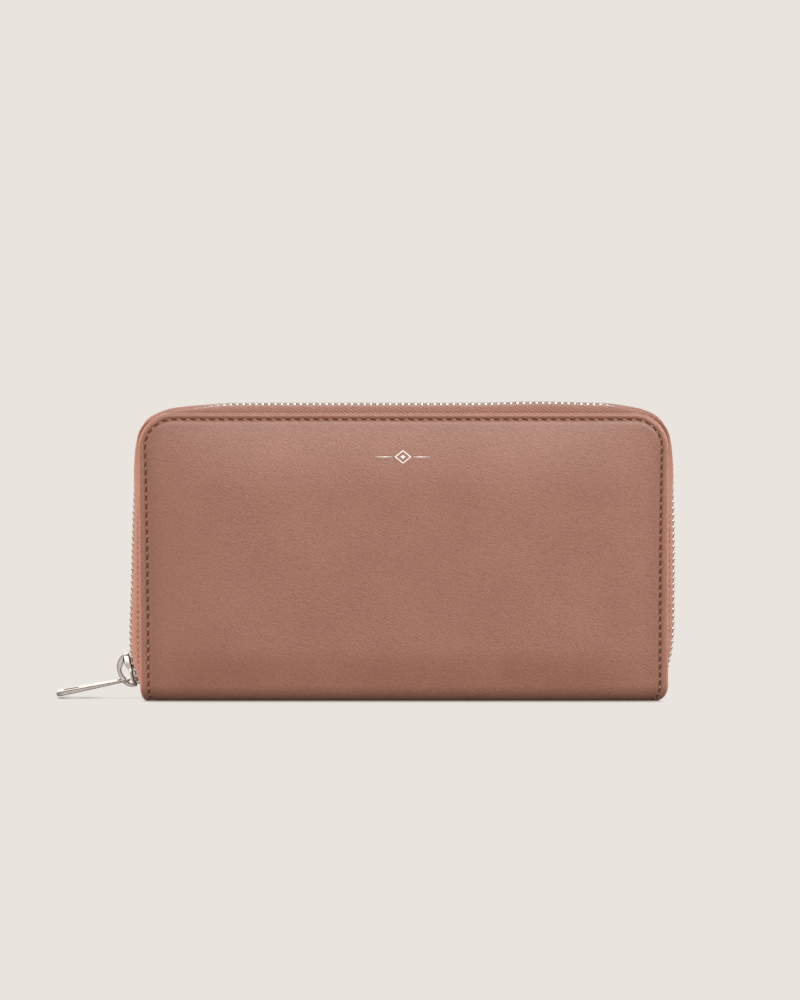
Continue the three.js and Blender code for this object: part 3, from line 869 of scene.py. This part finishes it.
def zip_tape(name, side):
    rows, runs = [], []
    middle = len(CHAIN) // 2
    sideways, upward = CHAIN_OUT.T
    on_leg = 1 - smooth_step(CHAIN[:, 1], CHAIN_SHOULDER - 12, CHAIN_SHOULDER + 6)
    flattened = 1 - TOP_FLATTEN * upward ** 2 - SIDE_FLATTEN * on_leg * sideways ** 2
    flattened = flattened * smooth_step(CHAIN[:, 1], 6, 19)
    upward = np.maximum(upward, 0)
    corner = np.where(sideways < 0, LEFT_BULGE, RIGHT_BULGE) * (2 * sideways * upward) ** 2
    corner = corner * (1 + 0.8 * (np.abs(sideways) - upward))
    for y, share, lift in TAPE_SECTION:
        line = CHAIN * (1 - share) + TAPE_EDGE * share
        lift = lift * flattened + corner * math.exp(-((y - 9.3) / 2.2) ** 2)
        line = line + outward_normals(line) * lift[:, None]
        rows.append(points3(line[:, 0], side * y, line[:, 1]))
        along = run_along(line)
        runs.append(along - along[middle] + CHAIN_RUN[middle])
    outer = np.stack(rows, 1)
    inner = outer - surface_normals(outer) * side * TAPE_THICKNESS
    section = np.array(TAPE_SECTION)[:, ::2]
    uv = np.stack(np.broadcast_arrays(np.stack(runs, 1), run_along(section)), -1).reshape(-1, 2)
    faces = slab_faces(*outer.shape[:2])
    # the woven cord that the teeth are clamped on
    out = points3(CHAIN_OUT[:, 0], 0, CHAIN_OUT[:, 1])[:, None]
    centre = points3(CHAIN[:, 0], side * CORD_Y, CHAIN[:, 1])
    cord = tube_round(centre, CORD_RADIUS, out, np.array([0, 1, 0]), CORD_SIDES)
    first = 2 * len(uv)
    faces += [tuple(i + first for i in face) for face in tube_faces(len(CHAIN), CORD_SIDES)]
    around = np.arange(CORD_SIDES) * 2 * math.pi * CORD_RADIUS / CORD_SIDES
    cord_uv = np.stack(np.broadcast_arrays(CHAIN_RUN[:, None], around), -1).reshape(-1, 2)
    verts = np.concatenate([part.reshape(-1, 3) for part in (outer, inner, cord)])
    return build(name, verts, faces, "tape", "tape", {"path": np.concatenate([uv, uv, cord_uv])}, sharp=60)


# one tooth from its clamped foot to its head: distance from the middle, height, width along the chain
TOOTH_STATIONS = [(3.8, 1.2, 0.6), (3.65, 1.8, 0.92), (3.35, 2.1, 1.02), (2.5, 2.0, 1.05),
                  (2.1, 1.8, 1.0), (1.5, 1.6, 0.92), (0.9, 1.7, 0.96), (0.2, 1.95, 1.04),
                  (-0.35, 1.9, 1.0), (-0.62, 1.6, 0.8), (-0.74, 0.9, 0.45)]
SHORT_HEAD = 1.05
CHAIN_TILT = -0.22


def tooth_row(name, side, offset, first, last):
    soup = Soup()
    clear_of_slider = CHAIN_SHOULDER - 9
    count = int((CHAIN_RUN[-1] - last - first) / TOOTH_PITCH)
    for k in range(count + 1):
        place, forward, out = on_chain(first + (k + offset) * TOOTH_PITCH)
        place = place + out * (CHAIN_TILT * side * max(out[1], 0) ** 2)
        in_travel = place[0] < 0 and place[1] < clear_of_slider
        spread = 0.75 * (1 - smooth_step(place[1], 8, 15)) if place[0] < 0 else 0
        shorten = SHORT_HEAD if in_travel else 0
        rings = []
        for y, height, width in TOOTH_STATIONS:
            if y < 2.1:
                y += shorten * (2.1 - y) / 2.84
            ring = rounded_ring(height, width, 0.22)
            flat = place + ring[:, :1] * out + ring[:, 1:] * forward
            rings.append(points3(flat[:, 0], side * (y + spread), flat[:, 1]))
        soup.add(rings, tube_faces(len(rings), len(rings[0])))
    return soup.build(name, "teeth", "metal", sharp=40)


def metal_block(name, low, high, bevel):
    return build(name, *block(low, high, bevel), "teeth", "metal", sharp=40)


for side_name, side in SIDES:
    leaf = f"{side_name}_leaf"
    settle(zip_tape(f"{side_name}_zip_tape", side), leaf, f"{side_name}_tape")
    row = tooth_row(f"{side_name}_zip_teeth", side, 0 if side < 0 else 0.5, 0.7, 2.0)
    settle(row, leaf, f"{side_name}_teeth")
    near, far = sorted((side * 0.75, side * 3.2))
    stop = metal_block(f"{side_name}_end_stop", (-97.2, near, 3.0), (-95.2, far, 4.8), 0.3)
    settle(stop, leaf, f"{side_name}_top_stop")
settle(metal_block("chain_retainer", (92.4, -2.7, 3.6), (94.8, 2.7, 5.6), 0.45), "root", "retaining_box")


# ---------- main slider

# outer x, inner x, z and half width down the outer plate: a thick crown, then a thin curved tongue
CROWN_PLATE = [(-103.55, -102.35, 16.8, 2.4), (-103.95, -102.1, 16.1, 3.5),
               (-103.75, -101.65, 14.7, 4.0), (-103.65, -101.25, 13.1, 4.0),
               (-103.05, -101.0, 12.2, 4.0), (-102.25, -100.8, 11.2, 4.0),
               (-101.75, -100.85, 10.8, 4.1), (-101.55, -100.9, 10.1, 4.3), (-101.2, -100.5, 8.5, 4.4),
               (-100.75, -100.05, 6.9, 4.4), (-99.85, -99.15, 5.3, 4.1), (-99.45, -99.15, 4.7, 3.5)]
INNER_PLATE = [(-98.2, -97.5, 15.1, 2.8), (-98.4, -97.3, 14.5, 3.5), (-98.1, -97.1, 11.3, 3.7),
               (-97.4, -96.4, 7.7, 3.8), (-97.0, -96.1, 5.4, 3.5), (-96.8, -96.3, 4.9, 2.8)]
# outer and inner edge of the strap that holds the pull, from the crown round to the tongue
BRIDGE = [((-102.95, 16.65), (-102.95, 15.85)), ((-104.05, 16.35), (-103.85, 15.55)),
          ((-105.05, 15.65), (-104.05, 14.65)), ((-106.05, 14.15), (-103.95, 13.65)),
          ((-106.55, 12.15), (-104.55, 12.05)), ((-106.4, 10.45), (-105.0, 10.75)),
          ((-105.75, 8.25), (-104.5, 9.05)), ((-104.95, 6.65), (-103.45, 7.75)),
          ((-103.95, 5.45), (-102.75, 6.65)), ((-102.45, 4.55), (-101.85, 5.75)),
          ((-100.95, 4.3), (-100.65, 5.45)), ((-99.75, 4.45), (-99.75, 5.25))]
BRIDGE_HALF_WIDTH = 1.45


def strap_mesh(edges, half_widths, bevel, smooth):
    """A strap whose two edges run side by side in (x, z), with bevelled edges across its width."""
    a, b = np.array(edges, float).swapaxes(0, 1)
    wide = np.array(half_widths, float)
    if smooth:
        joined = spline(np.hstack([a, b, wide[:, None]]), smooth)
        a, b, wide = joined[:, :2], joined[:, 2:4], joined[:, 4]
    rings = []
    for p, q, w in zip(a, b, wide):
        cut = bevel / max(np.linalg.norm(q - p), 2.2 * bevel)
        section = [(0, w - bevel), (cut, w), (1 - cut, w), (1, w - bevel),
                   (1, bevel - w), (1 - cut, -w), (cut, -w), (0, bevel - w)]
        rings.append([(*(p + (q - p) * k), y) for k, y in section])
    rings = np.array(rings)[..., [0, 2, 1]]
    return rings, tube_faces(len(rings), 8)


def nickel_piece(name, verts, faces, body, node):
    settle(build(name, verts, faces, "nickel", "metal", sharp=35), body, node)


def slider_parts():
    body = Soup()
    for stations in (CROWN_PLATE, INNER_PLATE):
        edges = [((outer, z), (inner, z)) for outer, inner, z, _ in stations]
        body.add(*strap_mesh(edges, [half for *_, half in stations], 0.28, 0))
    body.add(*block((-100.3, -0.3, 5.3), (-97.0, 0.3, 8.0), 0.12))
    settle(body.build("zip_slider", "nickel", "metal", sharp=35), "slider", "slider_body")
    strap = strap_mesh(BRIDGE, [BRIDGE_HALF_WIDTH] * len(BRIDGE), 0.35, 40)
    nickel_piece("pull_bridge", strap[0].reshape(-1, 3), strap[1], "slider", "slider_bridge")


slider_parts()


# ---------- pull tabs

PULL_DROP = math.radians(11.2)
PULL_ROLL = math.radians(-1.5)
PULL_LENGTH = 27.2
PULL_BEVEL = 0.34
# length, width and centre of the pull's two holes
PULL_EYE, PULL_SLOT = (3.9, 3.5, 2.4), (6.0, 2.8, 21.6)
# how far the tab hangs from its pivot's centre
PULL_SLACK = (0.1, 0, -0.35)


def pull_outline():
    """Plan of the long pull: a slim shaft widening to a soft square tip, along u from the pivot."""
    half = [(-0.95, 1.6), (-0.6, 2.5), (0.2, 3.0), (1.5, 3.15), (8, 3.3), (16, 3.6), (22, 3.85),
            (25.4, 3.8), (26.8, 3.1), (PULL_LENGTH, 1.6)]
    upper = spline(half, 40)
    lower = upper[::-1] * (1, -1)
    return np.vstack([lower, upper])[::-1]


def pull_thickness(u):
    return np.interp(u, [-1, 3, 10, 26], [0.8, 0.85, 1.15, 1.7])


def place_pull(points, pivot, direction, roll):
    """Turns a plate from its own (u, v, w) space so that u runs along direction from the pivot."""
    u = np.array(direction)
    w = np.array([-u[2], 0, u[0]]) * (1 if u[0] > 0 else -1)
    v = np.cross(w, u)
    tilted_v = v * math.cos(roll) + w * math.sin(roll)
    tilted_w = w * math.cos(roll) - v * math.sin(roll)
    return np.asarray(pivot) + points[:, :1] * u + points[:, 1:2] * tilted_v + points[:, 2:] * tilted_w


def main_pull():
    holes = [stadium(*size, clockwise=True) for size in (PULL_EYE, PULL_SLOT)]
    points, faces = plate(pull_outline(), holes, pull_thickness, PULL_BEVEL)
    direction = (-math.cos(PULL_DROP), 0, -math.sin(PULL_DROP))
    points = place_pull(points, PULL_PIVOT + PULL_SLACK, direction, PULL_ROLL)
    nickel_piece("zip_pull", points, faces, "pull", "pull_tab")


main_pull()


# ---------- foil mark

MARK_S = FACE_START + 91.3 - FOLD_R
FOIL_LIFT = 0.05


def foil_mark():
    """A generic stamped ornament: a lozenge between two fine lines."""
    soup = Soup()

    def stamp(outline):
        x, s = np.array(outline, float).T
        s = s + MARK_S
        height = relief(-1, x, s, FAR)
        top = on_leather(-1, x, s, height + FOIL_LIFT)
        bottom = on_leather(-1, x, s, height - 0.2)
        soup.add(np.concatenate([top, bottom]), tube_faces(2, len(outline)))

    def ring(width, height, band):
        for k in range(4):
            corners = [(width, 0), (0, height), (-width, 0), (0, -height)]
            a, b = np.array(corners[k]), np.array(corners[(k + 1) % 4])
            inner = 1 - band / width
            stamp([a, b, b * inner, a * inner])

    ring(3.1, 2.5, 0.55)
    stamp([(0.9, 0), (0, 0.75), (-0.9, 0), (0, -0.75)])
    for sign in (-1, 1):
        line = [(sign * 3.9, -0.05), (sign * 6.5, -0.16), (sign * 10.2, -0.02),
                (sign * 10.2, 0.02), (sign * 6.5, 0.16), (sign * 3.9, 0.05)]
        stamp(line)
    settle(soup.build("foil_mark", "foil", "metal", sharp=30), "front_leaf")


foil_mark()


# ---------- inside

def panel(side, y, thickness, half_width, low, high, corner, bend=None, bead=0.0):
    """A standing sheet with two rounded top corners.

    bend(x, z) moves it outward; bead thickens its top."""
    z = np.concatenate([np.linspace(low, high - corner, 22)[:-1],
                        high - corner + corner * np.sin(np.linspace(0, math.pi / 2, 9)[:-1]),
                        [high - 0.02]])
    drop = np.clip(z - (high - corner), 0, corner)
    reach = half_width - corner + np.sqrt(np.maximum(corner ** 2 - drop ** 2, 0))
    u = np.sin(np.linspace(-1, 1, 61) * math.pi / 2 * 0.82) / math.sin(math.pi / 2 * 0.82)
    x = reach[:, None] * u[None]
    zz = np.broadcast_to(z[:, None], x.shape)
    shift = bend(x, zz) if bend else 0
    swollen = thickness / 2 + bead * np.exp(-((high - 0.7 - zz) / 0.6) ** 2)
    near = np.stack([x, side * (y + shift - swollen), zz], -1)
    far = np.stack([x, side * (y + shift + swollen), zz], -1)
    return np.concatenate([near.reshape(-1, 3), far.reshape(-1, 3)]), slab_faces(*x.shape)


LINING_INSET = 2.0
LINING_ROLL = 1.35
CARD_BEAD = 0.16


def near_rim(x, z):
    """1 at the lining's rim, falling to 0 a few millimetres in."""
    left = np.exp(-((x + LEFT_FOOT - LINING_INSET) / 2.2) ** 2)
    right = np.exp(-((RIGHT_FOOT - LINING_INSET - x) / 2.2) ** 2)
    top = np.exp(-((TOP_Z - LINING_INSET - z) / 2.2) ** 2)
    return 1 - (1 - left) * (1 - right) * (1 - top)


def thread_line(soup, points, radius=0.2, pitch=3.0):
    """Short stitches along a line of points."""
    run = run_along(points)
    size = radius * np.array([0.35, 0.9, 1, 0.9, 0.35])[:, None, None]
    up = np.array([0, 1, 0])
    for start in np.arange(pitch / 2, run[-1] - pitch, pitch):
        at = start + np.linspace(0, 0.62 * pitch, 5)
        spot = points3(*(np.interp(at, run, points[:, k]) for k in range(3)))
        forward = (spot[-1] - spot[0]) / np.linalg.norm(spot[-1] - spot[0])
        soup.add(tube_round(spot, size, np.cross(forward, up), up, 5), tube_faces(5, 5))


CARD_LAYERS = ("upper", "middle", "lower")


def inside_of_leaf(side_name, side):
    leaf = f"{side_name}_leaf"
    low, high = node_box(f"{side_name}_lining")
    y = abs(low[1] + high[1]) / 2
    half_width = (LEFT_FOOT + RIGHT_FOOT) / 2 - LINING_INSET
    verts, faces = panel(side, y, 0.3, half_width, low[2], TOP_Z - LINING_INSET, CORNER_R - LINING_INSET,
                         bend=lambda x, z: LINING_ROLL * near_rim(x, z))
    lining = build(f"{side_name}_inner_lining", verts, faces, "lining", "lining", sharp=50)
    settle(lining, leaf, f"{side_name}_lining")
    seams = Soup()
    for layer in CARD_LAYERS:
        low, high = node_box(f"{side_name}_card_layer_{layer}")
        y = abs(low[1] + high[1]) / 2
        verts, faces = panel(side, y, 0.28, high[0], low[2], high[2], 3,
                             bend=lambda x, z: 0.25 * np.exp(-(x / 1.2) ** 2), bead=CARD_BEAD)
        card = build(f"{side_name}_card_{layer}", verts, faces, "lining", "lining", sharp=50)
        settle(card, leaf, f"{side_name}_card_layer_{layer}")
        x = np.linspace(-high[0] + 3, high[0] - 3, 80)
        thread_line(seams, points3(x, side * (y - 0.18), high[2] - 2.2), 0.13)
    z = np.linspace(low[2] + 2, high[2] - 4, 60)
    thread_line(seams, points3(0.0, side * (y - 0.02), z), 0.16)
    settle(seams.build(f"{side_name}_card_stitching", "thread", "lining"), leaf)


GUSSET_FOLDS = 13


def gusset(side_name, side, end_name, end):
    """A V-folded sheet between the coin pocket and a leaf, its fold pointing into the wallet."""
    name = f"gusset_{side_name}_{end_name}"
    low, high = node_box(name)
    outer_x, inner_x = (high[0], low[0]) if end > 0 else (low[0], high[0])
    inner_y, outer_y = (high[1], low[1]) if side < 0 else (low[1], high[1])
    share = np.linspace(0, 1, GUSSET_FOLDS)
    depth = 1 - np.abs(2 * share - 1) ** 1.6
    z = np.linspace(low[2], high[2], 26)
    x = outer_x + (inner_x - outer_x) * depth[None] * (1 - 0.02 * np.sin(z / 14)[:, None])
    y = inner_y + side * 0.2 + (outer_y - inner_y - side * 0.4) * share[None]
    grid = points3(x, y, z[:, None])
    piece = build(f"{side_name}_{end_name}_gusset", thick_sheet(grid, 0.16), slab_faces(*x.shape),
                  "lining", "lining", sharp=60)
    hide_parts(name)
    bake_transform(piece)


COIN_PITCH = 1.75
# one small tooth from foot to head: distance from the middle, height, width
COIN_TOOTH = ((1.75, 0.9, 0.5), (1.6, 1.4, 0.72), (1.0, 1.4, 0.72), (0.45, 1.0, 0.6), (0.38, 0.6, 0.3))
# a tape leans from the wall's inner face up to the teeth: distance from the middle, rise
COIN_TAPE = ((0.95, 0), (1.6, 0.1), (2.3, 0.05), (2.75, -0.5), (2.85, -1.6), (2.6, -4.5))
COIN_TAPE_LOW, COIN_TAPE_HIGH = node_box("coin_rear_tape")
COIN_ZIP_Z = (COIN_TAPE_LOW[2] + COIN_TAPE_HIGH[2]) / 2


def coin_tape(name, side):
    x = np.linspace(COIN_TAPE_LOW[0], COIN_TAPE_HIGH[0], 160)
    y, rise_z = np.array(COIN_TAPE).T
    grid = points3(x[:, None], side * y, COIN_ZIP_Z + rise_z)
    uv = np.stack(np.broadcast_arrays(x[:, None], np.linspace(0, 8, len(y))), -1).reshape(-1, 2)
    verts = thick_sheet(grid, 0.16, side)
    return build(name, verts, slab_faces(*grid.shape[:2]), "tape", "tape",
                 {"path": np.concatenate([uv, uv])}, sharp=60)


def coin_teeth(name, side):
    reach = node_box("coin_rear_teeth")[1][0]
    teeth = Soup()
    for k in range(int(2 * reach / COIN_PITCH)):
        x = -reach + (k + (0.75 if side > 0 else 0.25)) * COIN_PITCH
        rings = []
        for y, height, width in COIN_TOOTH:
            ring = rounded_ring(width, height, 0.14, 1)
            rings.append(points3(ring[:, 0] + x, side * y, ring[:, 1] + COIN_ZIP_Z))
        teeth.add(rings, tube_faces(len(rings), len(rings[0])))
    return teeth.build(name, "teeth", "metal", sharp=40)


def coin_pocket():
    low, high = node_box("coin_rear_wall")
    wall_y = (low[1] + high[1]) / 2
    seams = Soup()
    for side_name, side in (("front", -1), ("rear", 1)):
        name = f"coin_{side_name}"
        verts, faces = panel(side, wall_y, 0.5, high[0], low[2], high[2] - 0.2, 2, bead=0.1)
        wall = build(f"{name}_side", verts, faces, "lining", "lining", sharp=50)
        settle(wall, "root", f"{name}_wall")
        x = np.linspace(-high[0] + 3, high[0] - 3, 90)
        thread_line(seams, points3(x, side * (wall_y + 0.32), high[2] - 2.4), 0.14)
        settle(coin_tape(f"{name}_zip_tape", side), "root", f"{name}_tape")
        settle(coin_teeth(f"{name}_zip_teeth", side), "root", f"{name}_teeth")
    settle(seams.build("coin_stitching", "thread", "lining"), "root")


COIN_PLATE = [(-3.5, 1.9), (-3.1, 2.5), (0, 2.35), (2.2, 2.1), (3.1, 1.7), (3.5, 1.2)]


def coin_slider():
    low, high = node_box("coin_slider")
    middle = ((low[0] + high[0]) / 2, 0, 0)
    zip_z = COIN_ZIP_Z
    body = Soup()
    for sign in (1, -1):
        near, far = sorted((zip_z + sign * 1.08, zip_z + sign * 1.95))
        edges = [((x, near), (x, far)) for x, _ in COIN_PLATE]
        verts, faces = strap_mesh(edges, [w for _, w in COIN_PLATE], 0.2, 0)
        body.add(verts + middle, faces)
    body.add(*block((middle[0] - 3.2, -0.28, zip_z - 1.2), (middle[0] - 1.6, 0.28, zip_z + 1.2), 0.1))
    crown, foot = high[2], zip_z + 1.7
    half = [((2.9, foot), (2.1, foot)), ((2.7, crown - 1.2), (1.9, crown - 1.5)),
            ((1.6, crown - 0.2), (1.2, crown - 0.95))]
    mirrored = [((-ax, az), (-bx, bz)) for (ax, az), (bx, bz) in reversed(half)]
    arch = [*half, ((0, crown), (0, crown - 0.75)), *mirrored]
    verts, faces = strap_mesh(arch, [0.85] * len(arch), 0.2, 24)
    body.add(verts + middle, faces)
    settle(body.build("coin_zip_slider", "nickel", "metal", sharp=35), "coin_slider", "coin_slider")


def coin_pull():
    length = COIN_PIVOT[0] - node_box("coin_pull")[0][0]
    half = [(-0.6, 1.0), (-0.3, 1.6), (0.8, 1.9), (4, 1.95), (length - 1.4, 2.1), (length - 0.4, 1.7),
            (length, 0.8)]
    upper = spline(half, 26)
    outline = np.vstack([upper[::-1] * (1, -1), upper])[::-1]
    holes = [stadium(2.6, 2.2, 1.65, clockwise=True), stadium(2.4, 1.5, length - 2.6, clockwise=True)]
    points, faces = plate(outline, holes, lambda u: np.full(len(u), 0.75), 0.16)
    points = place_pull(points, COIN_PIVOT, (-1, 0, 0), 0)
    nickel_piece("coin_zip_pull", points, faces, "coin_pull", "coin_pull")


for side_name, side in SIDES:
    inside_of_leaf(side_name, side)
    for end_name, end in (("left", -1), ("right", 1)):
        gusset(side_name, side, end_name, end)
coin_pocket()
coin_slider()
coin_pull()


# ---------- finish

BACKDROP = srgb(233, 228, 222)
FLOOR_BOUNCE = 0.35
FLOOR_HALF = 40
CONTACT_REACH = 0.008


def stage_floor():
    """A floor that shows the backdrop's colour, with a soft contact shadow under the wallet."""
    n = material_nodes("pale_floor")
    occlusion = n.add("ShaderNodeAmbientOcclusion", {"Distance": CONTACT_REACH}, samples=8)
    color = n.mix(n.ramp(occlusion.outputs["AO"], 0.0, 0.62), srgb(112, 92, 80), BACKDROP)
    seen = n.add("ShaderNodeLightPath").outputs["Is Camera Ray"]
    strength = n.ramp(seen, 0, 1, FLOOR_BOUNCE, 1)
    mesh = bpy.data.meshes.new("floor")
    corners = [(x * FLOOR_HALF, y * FLOOR_HALF, 0) for x, y in ((-1, -1), (1, -1), (1, 1), (-1, 1))]
    mesh.from_pydata(corners, [], [(0, 1, 2, 3)])
    mesh.materials.append(n.output(n.add("ShaderNodeEmission", {"Color": color, "Strength": strength})))
    add_object("floor", mesh)


def area_light(name, location, aim, size, power, glossy):
    data = bpy.data.lights.new(name, "AREA")
    data.shape = "RECTANGLE"
    data.size, data.size_y = size
    data.energy = power
    lamp = add_object(name, data)
    lamp.location = location
    lamp.visible_glossy = glossy
    lamp.rotation_euler = (Vector(aim) - Vector(location)).to_track_quat("-Z", "Y").to_euler()


# name, place, height aimed at, size, power, whether it mirrors in glossy surfaces
SOFT_BOXES = [("key", (0.35, -1.3, 0.78), 0.06, (1.6, 0.6), 18, True),
              ("left", (-1.15, 0.05, 0.3), 0.05, (0.9, 0.9), 32, False),
              ("right", (1.15, 0.05, 0.3), 0.05, (0.9, 0.9), 23, False),
              ("back", (0, 1.2, 0.6), 0.05, (1.4, 0.5), 3, True)]


def studio():
    """The backdrop as the camera and mirrors see it, a dimmer fill for the rest, and four soft boxes."""
    world = bpy.data.worlds.new("studio")
    n = Nodes(world)
    seen = n.add("ShaderNodeLightPath").outputs
    direct = n.math("MAXIMUM", seen["Is Camera Ray"], seen["Is Glossy Ray"])
    fill = n.add("ShaderNodeBackground", {"Color": (0.86, 0.87, 0.9, 1), "Strength": 0.42})
    backdrop = n.add("ShaderNodeBackground", {"Color": BACKDROP})
    mixed = n.add("ShaderNodeMixShader", {0: direct, 1: fill.outputs[0], 2: backdrop.outputs[0]})
    bpy.context.scene.world = n.output(mixed, "ShaderNodeOutputWorld")
    for name, location, aim_z, size, power, glossy in SOFT_BOXES:
        area_light(name, location, (0, 0, aim_z), size, power, glossy)


stage_floor()
studio()
bpy.context.scene.view_settings.view_transform = "Standard"

for node_name, node in frame["nodes"].items():
    slot_name = next(p["material_slot"] for p in frame["record"]["subparts"] if p["node"] == node_name)
    chosen = {"metal": "nickel"}.get(slot_name, slot_name)
    node.data.materials.clear()
    node.data.materials.append(MATERIAL[chosen])
